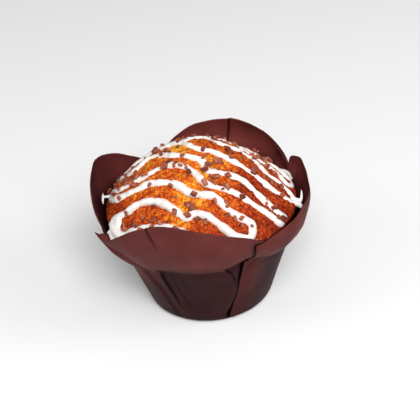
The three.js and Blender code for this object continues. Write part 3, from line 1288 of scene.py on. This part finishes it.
    def levels(self) -> Points:
        """Spaces the sheet's rows, closest at the foot and the waist.

        Returns:
            Their levels, from the middle of the base to the rim.
        """
        base = np.array([-1, -0.75, -0.5, -0.28, -0.12, -0.03])
        foot = (1 - np.cos(np.radians(np.arange(0, 91, 15)))) * self.foot / self.waist_level
        wall = np.linspace(foot[-1], 0.93, 26)[1:]
        hem = np.array([0.95, 0.965, 0.98, 0.99, 1.0, 1.01, 1.02, 1.035, 1.05, 1.07])
        flare = np.linspace(hem[-1], 2, 36)[1:]
        return np.concatenate([base, foot, wall, hem, flare])

    def row(self, level: float) -> list[Points]:
        """Lays one row of the sheet, panel after panel, once round.

        Args:
            level: its level.

        Returns:
            The azimuths, depths, reaches and shades of Row.laid.
        """
        radius = float(self.wall(self.waist_level * np.clip(level, 0, 1)))
        pleats = [self.front_left, self.front_right, self.back_right, self.back_left]
        panels = zip(pleats, [*pleats[1:], pleats[0]], (0, 0, 0, 360))
        laid = [
            Row(start, end, round_on, level, radius, self.layer, self.columns).laid()
            for start, end, round_on in panels
        ]
        return [np.concatenate(part) for part in zip(*laid)]

    def build(self, finish: Material) -> Object:
        """Folds the sheet.

        Args:
            finish: its material.

        Returns:
            The case.
        """
        levels = self.levels()
        azimuth, depth, reach, dark = np.array([self.row(level) for level in levels]).transpose(1, 0, 2)
        level = np.repeat(levels[:, None], azimuth.shape[1], axis=1)
        level = np.where(level > 1, 1 + (level - 1) * reach, level)
        r, z = self.shape(azimuth, level)
        inwards, creased = self.creased(azimuth, np.clip(level, 0, 2))
        r = r - self.paper / 2 + np.where(level > 0, self.relief(azimuth, level) - inwards - depth, 0)
        around = np.radians(azimuth)
        points = np.stack([r * np.cos(around), r * np.sin(around), z + self.paper / 2], axis=-1)
        at = np.arange(azimuth.size).reshape(azimuth.shape)
        on = np.roll(at, -1, axis=1)
        faces = np.stack([at[:-1], on[:-1], on[1:], at[1:]], axis=-1).reshape(-1, 4)
        case = mesh_object("pleated_paper_case", points.reshape(-1, 3), faces.tolist())
        set_attribute(case, "level", level.ravel())
        # "depth" carries painted shade: the dark of the folds and the creases
        set_attribute(case, "depth", np.maximum(dark, creased).ravel())
        # "lift": painted light on the petals over the body's painted shade
        set_attribute(case, "lift", self.lift(azimuth, level).ravel())
        self.thicken(case, finish)
        self.shade_inside(case)
        smooth_faces(case)
        return case

    def thicken(self, case: Object, finish: Material) -> None:
        """Joins the sheet's doubled points and gives it its thickness.

        Args:
            case: the thin sheet.
            finish: its material.
        """
        work = bmesh.new()
        work.from_mesh(case.data)
        bmesh.ops.remove_doubles(work, verts=work.verts, dist=self.weld * MM)
        work.to_mesh(case.data)
        work.free()
        case.data.materials.append(finish)
        wall = case.modifiers.new("paper", "SOLIDIFY")
        wall.thickness = self.paper * MM
        wall.offset = 0
        apply_modifiers(case)

    def shade_inside(self, case: Object) -> None:
        """Paints the inner face: palest at the petals' tips, with painted shade towards the cake.

        The back petal is painted palest, as painted light, and the left one darkest, as painted shade.

        Args:
            case: the finished sheet, whose "level" attribute is used up.
        """
        mesh = case.data
        places, normals = (read_points(mesh.vertices, key, 3)[:, :2] for key in ("co", "normal"))
        level, dark, lift = (
            read_points(mesh.attributes[name].data, "value") for name in ("level", "depth", "lift")
        )
        inner = (places * normals).sum(axis=1) < 0
        way = places / np.maximum(np.linalg.norm(places, axis=1, keepdims=True), 1e-6)
        left, back = np.clip(-way[:, 0], 0, 1) ** 3, np.clip(way[:, 1], 0, 1) ** 2
        # painted shade on the inner face, deepening towards the cake
        set_attribute(case, "depth", np.maximum(dark, inner * ramp(level, *self.inside_shade_levels)))
        # the back petal's inside painted paler as light, the left one's darker as shade
        inside = 1 - self.shaded_left_inside * left + self.lit_back_inside * back
        set_attribute(case, "lift", np.where(inner & (level > 1), inside, lift))
        mesh.attributes.remove(mesh.attributes["level"])


# ---- icing
@dataclass
class Icing:
    """The ribbon of icing, run to and fro over the crown in one go.

    A pass is given as places along and across the passes, which lie turned in plan. The pools
    are the small smears at the rim.
    """

    crown: Crown
    turn: float = -27.0
    reach: float = 38.6
    beads: tuple[float, ...] = (1.75, 1.85, 1.85, 1.6, 1.65, 1.5, 1.45, 1.45, 1.5, 1.5)
    sunk: float = 0.6
    wobbles: Table = ((0.10, 0.43, 0), (0.08, 0.91, 2), (0.05, 1.9, 1))  # share of the bead, rate and start
    ripple: dict[str, float] = field(default_factory=lambda: {"Ripple size": 4.5, "Ripple height": 0.22})
    pass_steps: int = 14
    pool_steps: int = 10
    sides: int = 12
    voxel: float = 0.36
    settling: float = 0.5
    settling_rounds: int = 6
    passes: tuple[Knots, ...] = (
        ((-23, -34.2), (-20, -35.6), (-10, -35.3), (0, -34.3), (10, -34), (20, -33.5)),
        ((-28, -28.5), (-21, -28.9), (-15, -27.2), (-7, -26.7), (0, -27.8), (6.5, -28.9), (9, -26.8),
         (14, -26.3), (20, -26.6), (26, -26.3), (30, -23.8)),
        ((-33.5, -18.2), (-28, -20.5), (-20, -20.7), (-14, -19.2), (-6, -18.8), (0, -19.2), (4, -20.1),
         (9, -19.4), (14, -18.4), (20, -19.8), (25, -19.6), (30, -18.4)),
        ((-36.5, -12.5), (-31, -15.7), (-23, -16.2), (-17, -14.1), (-11, -11.2), (-5, -10.3), (0, -10.8),
         (4, -11.6), (9, -13.9), (14, -13.9), (20, -12), (25, -11.4), (30, -10.4), (35, -9), (38, -7.8)),
        ((-28, -8), (-22, -3), (-16, -3.3), (-10, -5.2), (-3, -5.4), (3.6, -5.5), (7.7, -8.3), (14, -6.5),
         (20, -4), (25, -4.8), (30, -5.5), (36, -4.9), (38.6, -3.2)),
        ((-20, 4.5), (-11, 4.7), (-6, 1.8), (-2, 0.1), (1.4, 0.2), (5, 1.7), (11, 2.5), (18, 3.1), (24, 3.1),
         (30, 3), (34, 4.7), (36, 5.9)),
        ((-27, 9), (-19, 7.5), (-11, 6.8), (-4, 11.2), (0, 10.5), (6, 10.2), (14, 15), (20, 13.3),
         (25, 10.3), (30, 11.3), (35, 11)),
        ((-28, 17), (-18, 18), (-8, 16.5), (2, 18), (12, 19.5), (20, 19), (26, 19.9), (29, 17), (32, 16)),
        ((-27, 24), (-18, 25), (-9, 24), (0, 25.5), (9, 26.5), (18, 26), (27, 24)),
        ((-18, 31), (-9, 31.5), (0, 32.5), (9, 33.5), (18, 32)),
    )
    pools: Sequence[Table] = (  # places and half widths
        ((-38.2, -13.0, 46.0, 1.9), (-36.8, -18.0, 45.8, 2.3), (-34.8, -22.5, 45.2, 2.3),
         (-32.2, -26.6, 44.8, 1.2)),
        ((-39.6, -15.5, 43.4, 1.6), (-38.2, -20.0, 43.0, 1.9), (-36.0, -24.5, 42.8, 1.8)),
        ((-36.8, 3.2, 48.4, 1.3), (-39.3, 3.4, 48.9, 0.9), (-41.9, 2.8, 49.3, 0.5)),
        ((-42.2, 4.2, 50.8, 0.2), (-42.3, 2.6, 49.6, 0.6), (-42.3, 0.3, 48.8, 0.55),
         (-42.1, -1.4, 48.0, 0.2)),
        ((35.5, -6.0, 47.6, 1.3), (38.2, -7.2, 46.2, 1.0), (40.4, -8.2, 46.2, 0.8),
         (41.0, -6.4, 47.9, 0.5), (41.1, -4.8, 49.5, 0.2)),
        ((37.4, -9.5, 45.8, 1.2), (39.6, -9.8, 45.0, 1.2), (40.6, -11.2, 44.4, 0.8)),
        ((33.0, 17.0, 46.0, 1.2), (36.0, 17.5, 45.0, 1.1), (37.8, 15.5, 44.6, 0.9),
         (38.6, 12.0, 44.2, 0.5)),
    )

    def in_plan(self, along: Any, across: Any) -> Points:
        """Turns places along and across the passes into plan.

        Args:
            along: places along them.
            across: places across them.

        Returns:
            One row for each point.
        """
        cos, sin = math.cos(math.radians(self.turn)), math.sin(math.radians(self.turn))
        along, across = np.asarray(along, float), np.asarray(across, float)
        return np.stack([along * cos - across * sin, along * sin + across * cos], axis=-1)

    def route(self) -> tuple[Points, Points]:
        """Lays the whole ribbon in plan, pass after pass, with a loop at each end.

        Returns:
            Its points and its half width at each of them.
        """
        knots: list[Points] = []
        for number, (places, bead) in enumerate(zip(self.passes, self.beads)):
            points = self.in_plan(*zip(*places))
            if number % 2 == 0:
                points = points[::-1]
            if knots:
                middle = knots[-1][-1, :2] + points[0]
                knots.append(np.array([[*(middle * self.reach / np.linalg.norm(middle)), bead]]))
            knots.append(np.column_stack([points, np.full(len(points), bead)]))
        run = spline(np.vstack(knots), self.pass_steps)
        return run[:, :2], run[:, 2]

    def strands(self) -> tuple[Points, Points, list[tuple[int, int]]]:
        """Lays the lines that the icing is swept along: the ribbon and its pools.

        Returns:
            Their points, the bead's radius at each point, and their edges.
        """
        plan, beads = self.route()
        inward = np.minimum(1, self.crown.verge / self.crown.ring(plan[:, 0], plan[:, 1]))
        plan = self.crown.centre + (plan - self.crown.centre) * inward[:, None]
        steps = np.concatenate([[0], np.cumsum(np.linalg.norm(np.diff(plan, axis=0), axis=1))])
        wobble = sum(share * np.sin(steps * rate + start) for share, rate, start in self.wobbles)
        lines = [np.column_stack([self.crown.on(plan, -self.sunk), beads * (1 + wobble)])]
        lines += [spline(pool, self.pool_steps) for pool in self.pools]
        edges, start = [], 0
        for line in lines:
            edges += [(k, k + 1) for k in range(start, start + len(line) - 1)]
            start += len(line)
        joined = np.vstack(lines)
        return joined[:, :3], joined[:, 3], edges

    def build(self, finish: Material) -> Object:
        """Sweeps the strands and melts them into one.

        Args:
            finish: the icing's material.

        Returns:
            The icing.
        """
        points, radii, edges = self.strands()
        icing = mesh_object("icing_ribbon", points, edges=edges)
        set_attribute(icing, "thick", radii * MM)
        tree = GeometryTree("icing_strands", self.ripple)
        sweep = {
            "Curve": tree.result("GeometryNodeMeshToCurve", {"Mesh": tree.geometry}),
            "Profile Curve": tree.result("GeometryNodeCurvePrimitiveCircle", {"Resolution": self.sides}),
            "Scale": tree.attribute("thick"),
            "Fill Caps": True,
        }
        swept = tree.result("GeometryNodeCurveToMesh", sweep)
        tree.bake(icing, tree.pushed_out(swept, tree.swell("Ripple")), finish)
        melt = icing.modifiers.new("melt", "REMESH")
        melt.mode = "VOXEL"
        melt.voxel_size = self.voxel * MM
        settle = icing.modifiers.new("settle", "SMOOTH")
        settle.factor = self.settling
        settle.iterations = self.settling_rounds
        apply_modifiers(icing)
        smooth_faces(icing)
        return icing


# ---- chocolate
@dataclass
class Chocolate:
    """Chopped chocolate: the big pieces where the frame has them, and crumbs strewn between.

    A cluster runs from one place to another, along and across the icing's passes. A shape is
    1 long, and its other sizes are shares of that.
    """

    crown: Crown
    icing: Icing
    seed: int = 21
    shapes: int = 9
    half_width: tuple[float, float] = (0.3, 0.42)
    half_height: tuple[float, float] = (0.2, 0.33)
    corner: tuple[float, float] = (0.55, 1.0)
    extra_corners: int = 4
    extra_reach: float = 0.8
    flat_within: float = 9.0
    worn: float = 0.045
    tilt: float = 0.7
    node_share: tuple[float, float] = (0.68, 0.92)
    crumb: float = 1.7
    crumb_range: float = 2.1
    crumb_bias: float = 1.6
    off_pools: float = 2.4
    spacing: float = 0.27
    rise: float = 0.14
    clusters: Table = (  # two ends, count and spread
        (-37, -10, -18, -17, 30, 1.8),
        (-34, -8, -25, -9, 18, 2.4),
        (-26, -33, 4, -34, 18, 1.0),
        (14, -20, 32, -21, 11, 1.1),
        (9, -8, 17, -14, 10, 1.7),
        (31, -5, 37, -7, 8, 1.3),
        (13, 21, 29, 12, 18, 2.4),
        (25, 6, 36, 8, 10, 1.6),
        (2, 7, 17, 8, 12, 1.9),
        (-10, -9, 1, -12, 11, 1.5),
        (4, 0, 10, -8, 9, 1.7),
        (-24, 3, -4, -5, 7, 1.9),
        (0, -22, 12, -27, 7, 1.3),
        (-24, 24, 22, 27, 20, 3.0),
        (-16, 15, 10, 17, 11, 2.1),
        (-14, 31, 14, 33, 8, 1.6),
    )

    def chopped_shape(self, random: np.random.Generator, name: str) -> Object:
        """Makes one shape: the hull of a few random points, with its edges worn.

        Args:
            random: what the points are drawn from.
            name: the shape's name.

        Returns:
            The shape, whose "edge" is 1 on the worn faces.
        """
        box = np.array([0.5, random.uniform(*self.half_width), random.uniform(*self.half_height)])
        corners = np.array([[x, y, z] for x in (-1, 1) for y in (-1, 1) for z in (-1, 1)], float)
        corners *= random.uniform(*self.corner, corners.shape)
        extra = random.uniform(-self.extra_reach, self.extra_reach, (self.extra_corners, 3))
        work = bmesh.new()
        edge = work.faces.layers.float.new("edge")
        for corner in np.vstack([corners, extra]) * box:
            work.verts.new(corner)
        hull = bmesh.ops.convex_hull(work, input=work.verts)
        loose = [v for v in hull["geom_interior"] if isinstance(v, bmesh.types.BMVert)]
        bmesh.ops.delete(work, geom=loose, context="VERTS")
        flat = math.radians(self.flat_within)
        bmesh.ops.dissolve_limit(work, angle_limit=flat, verts=work.verts, edges=work.edges)
        bevelled = bmesh.ops.bevel(work, geom=work.edges[:], offset=self.worn, segments=1, affect="EDGES")
        for face in bevelled["faces"]:
            face[edge] = 1.0
        bmesh.ops.recalc_face_normals(work, faces=work.faces)
        mesh = bpy.data.meshes.new(name)
        work.to_mesh(mesh)
        work.free()
        return bpy.data.objects.new(name, mesh)

    def places(self, nodes: Sequence[str]) -> tuple[Points, Points, Points]:
        """Settles where the pieces lie.

        Args:
            nodes: the frame's own pieces of chocolate.

        Returns:
            Their middles, their lengths, and which way each surface faces.
        """
        random = np.random.default_rng(self.seed + 1)
        plan, length = [], []
        for node in nodes:
            low, high = node_box(node)
            plan.append((low[:2] + high[:2]) / 2)
            length.append(max(high - low) * random.uniform(*self.node_share))
        for along_a, across_a, along_b, across_b, count, spread in self.clusters:
            share = (np.arange(count) + random.uniform(0, 1, count)) / count
            along = along_a + (along_b - along_a) * share + random.normal(0, spread, count)
            across = across_a + (across_b - across_a) * share + random.normal(0, spread, count)
            plan += list(self.icing.in_plan(along, across))
            length += list(self.crumb + self.crumb_range * random.uniform(0, 1, count) ** self.crumb_bias)
        plan, length = np.array(plan), np.array(length)
        keep = self.clear(plan, length)
        plan, length = plan[keep], length[keep]
        route, beads = self.icing.route()
        bead = float(beads.mean())
        off = np.clip(from_path(plan, route) / bead, 0, 1)
        ribbon = (bead - self.icing.sunk) * np.sqrt(1 - off**2)
        out = self.crown.normal(plan[:, 0], plan[:, 1])
        return self.crown.on(plan, ribbon + length * self.rise), length, out

    def clear(self, plan: Points, length: Points) -> Points:
        """Picks the pieces that lie on the crown, off the pools and off the pieces before them.

        Args:
            plan: their places.
            length: their lengths.

        Returns:
            Whether each one is kept.
        """
        keep = self.crown.ring(plan[:, 0], plan[:, 1]) < self.crown.verge
        for pool in self.icing.pools:
            keep &= from_path(plan, np.array(pool)[:, :2]) > self.off_pools
        for this in range(len(plan)):
            apart = np.linalg.norm(plan[:this] - plan[this], axis=1)
            near = apart < self.spacing * (length[:this] + length[this])
            keep[this] &= not np.any(keep[:this] & near)
        return keep

    def strew(self, chips: Object, shelf: bpy.types.Collection, finish: Material) -> None:
        """Puts a shape on each point, square to the crown and then tilted and turned at random.

        Args:
            chips: the points, with their "length" and "out".
            shelf: the shapes.
            finish: the pieces' material.
        """
        tree = GeometryTree("strewn_chocolate", {"Tilt": self.tilt, "Seed": float(self.seed)})
        tilt, seed = tree.size("Tilt"), tree.size("Seed")
        on_shelf = {"Collection": shelf, "Separate Children": True, "Reset Children": True}
        facing = {"Vector": tree.attribute("out", "FLOAT_VECTOR")}
        upright = tree.result("FunctionNodeAlignRotationToVector", facing, axis="Z")
        most = tree.result("ShaderNodeCombineXYZ", {0: tilt, 1: tilt, 2: math.pi})
        whole_seed = tree.result("FunctionNodeFloatToInt", {0: seed})
        turns = {0: tree.scaled(most, -1.0), 1: most, "Seed": whole_seed}
        spin = tree.result("FunctionNodeRandomValue", turns, data_type="FLOAT_VECTOR")
        picks = {4: 0, 5: self.shapes - 1, "Seed": tree.math("ADD", seed, 1.0)}
        stuck = {
            "Points": tree.geometry,
            "Instance": tree.result("GeometryNodeCollectionInfo", on_shelf),
            "Pick Instance": True,
            "Instance Index": tree.node("FunctionNodeRandomValue", picks, data_type="INT").outputs[2],
            "Rotation": tree.result(
                "FunctionNodeRotateRotation", {0: upright, 1: spin}, rotation_space="LOCAL"
            ),
            "Scale": tree.attribute("length"),
        }
        tree.bake(chips, tree.result("GeometryNodeInstanceOnPoints", stuck), finish)

    def build(self, finish: Material, nodes: Sequence[str]) -> Object:
        """Sticks the pieces on.

        Args:
            finish: their material.
            nodes: the frame's own pieces of chocolate.

        Returns:
            All the pieces as one mesh.
        """
        random = np.random.default_rng(self.seed)
        shelf = bpy.data.collections.new("chopped_shapes")
        for number in range(self.shapes):
            shelf.objects.link(self.chopped_shape(random, f"chopped_shape_{number}"))
        places, lengths, out = self.places(nodes)
        chips = mesh_object("chopped_chocolate", places)
        set_attribute(chips, "length", lengths * MM)
        set_attribute(chips, "out", out)
        self.strew(chips, shelf, finish)
        for mesh in [shape.data for shape in shelf.objects]:
            bpy.data.meshes.remove(mesh)
        bpy.data.collections.remove(shelf)
        return chips


# ---- studio
@dataclass(frozen=True)
class Lamp:
    """A soft square lamp that faces the muffin. Its place and side are in metres."""

    name: str
    place: tuple[float, float, float]
    side: float
    watts: float
    faces: tuple[float, float, float] = (0, 0, 0.03)

    def build(self) -> None:
        """Hangs the lamp."""
        data = bpy.data.lights.new(self.name, "AREA")
        data.shape = "SQUARE"
        data.size = self.side
        data.energy = self.watts
        lamp = bpy.data.objects.new(self.name, data)
        lamp.location = self.place
        lamp.rotation_euler = (Vector(self.faces) - Vector(self.place)).to_track_quat("-Z", "Y").to_euler()
        bpy.context.scene.collection.objects.link(lamp)


@dataclass
class Studio:
    """A pale floor, soft lamps, a white sky and the camera."""

    lens: float = 108.48
    sensor: float = 36.0
    clip: tuple[float, float] = (0.01, 20.0)
    distance: float = 560.0
    elevation: float = 33.0
    roll: float = -5.0
    aim: tuple[float, float, float] = (2.36, 18.2, 28.1)
    sky: float = 0.3
    floor: float = 6000.0
    lamps: tuple[Lamp, ...] = (
        Lamp("front_lamp", (0.15, -0.95, 0.95), 0.7, 17.0),
        Lamp("left_lamp", (-1.0, -0.2, 0.7), 0.6, 2.0),
        Lamp("right_lamp", (1.0, -0.3, 0.7), 0.6, 4.0),
    )

    def camera(self) -> None:
        """Sets up the camera, looking along +Y and down."""
        data = bpy.data.cameras.new("camera")
        data.lens = self.lens
        data.sensor_width = self.sensor
        data.clip_start, data.clip_end = self.clip
        eye = bpy.data.objects.new("camera", data)
        a = math.radians(self.elevation)
        back = Vector((0, -math.cos(a), math.sin(a)))
        place = (Vector(self.aim) + back * self.distance) * MM
        turn = Matrix.Rotation(math.pi / 2 - a, 4, "X") @ Matrix.Rotation(math.radians(self.roll), 4, "Z")
        eye.matrix_world = Matrix.Translation(place) @ turn
        bpy.context.scene.collection.objects.link(eye)
        bpy.context.scene.camera = eye

    def build(self) -> None:
        """Builds the floor, the lamps and the sky."""
        corners = np.array([[-1, -1, 0], [1, -1, 0], [1, 1, 0], [-1, 1, 0]]) * self.floor
        floor = mesh_object("floor", corners, [(0, 1, 2, 3)])
        floor.data.materials.append(FloorFinish().build())
        for lamp in self.lamps:
            lamp.build()
        world = bpy.data.worlds.new("studio")
        world.use_nodes = True
        background = world.node_tree.nodes["Background"]
        background.inputs["Color"].default_value = (1, 1, 1, 1)
        background.inputs["Strength"].default_value = self.sky
        bpy.context.scene.world = world
        bpy.context.scene.view_settings.view_transform = "Standard"


# ---- the muffin
def put_in_frame(piece: Object, nodes: Sequence[str]) -> None:
    """Joins a piece to the frame.

    Args:
        piece: the finished piece.
        nodes: the frame's nodes that it stands for.
    """
    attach(piece, BODY)
    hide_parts(*nodes)
    log.info("%s: %d faces, for %s", piece.name, len(piece.data.polygons), ", ".join(nodes))


def node_box(node: str) -> tuple[Points, Points]:
    """Reads a frame node's box.

    Args:
        node: its name.

    Returns:
        Its lowest and highest corners in millimetres.
    """
    low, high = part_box(node)
    return np.array(low) / MM, np.array(high) / MM


def main() -> None:
    """Builds the studio and the muffin."""
    logging.basicConfig(level=logging.INFO, format="%(message)s")
    studio = Studio()
    studio.camera()
    studio.build()
    chocolate_nodes = sorted(name for name in frame["nodes"] if name.startswith("chocolate_piece"))

    crown = Crown(*node_box("cake"))
    cake = Cake(crown).build(CrustFinish().build())
    put_in_frame(cake, ["cake"])

    case = PaperCase().build(PaperFinish().build())
    put_in_frame(case, ["tulip_paper_case"])

    icing = Icing(crown)
    put_in_frame(icing.build(IcingFinish().build()), ["icing_drizzle"])

    chips = Chocolate(crown, icing).build(ChocolateFinish().build(), chocolate_nodes)
    put_in_frame(chips, chocolate_nodes)


if __name__ == "__main__":
    main()
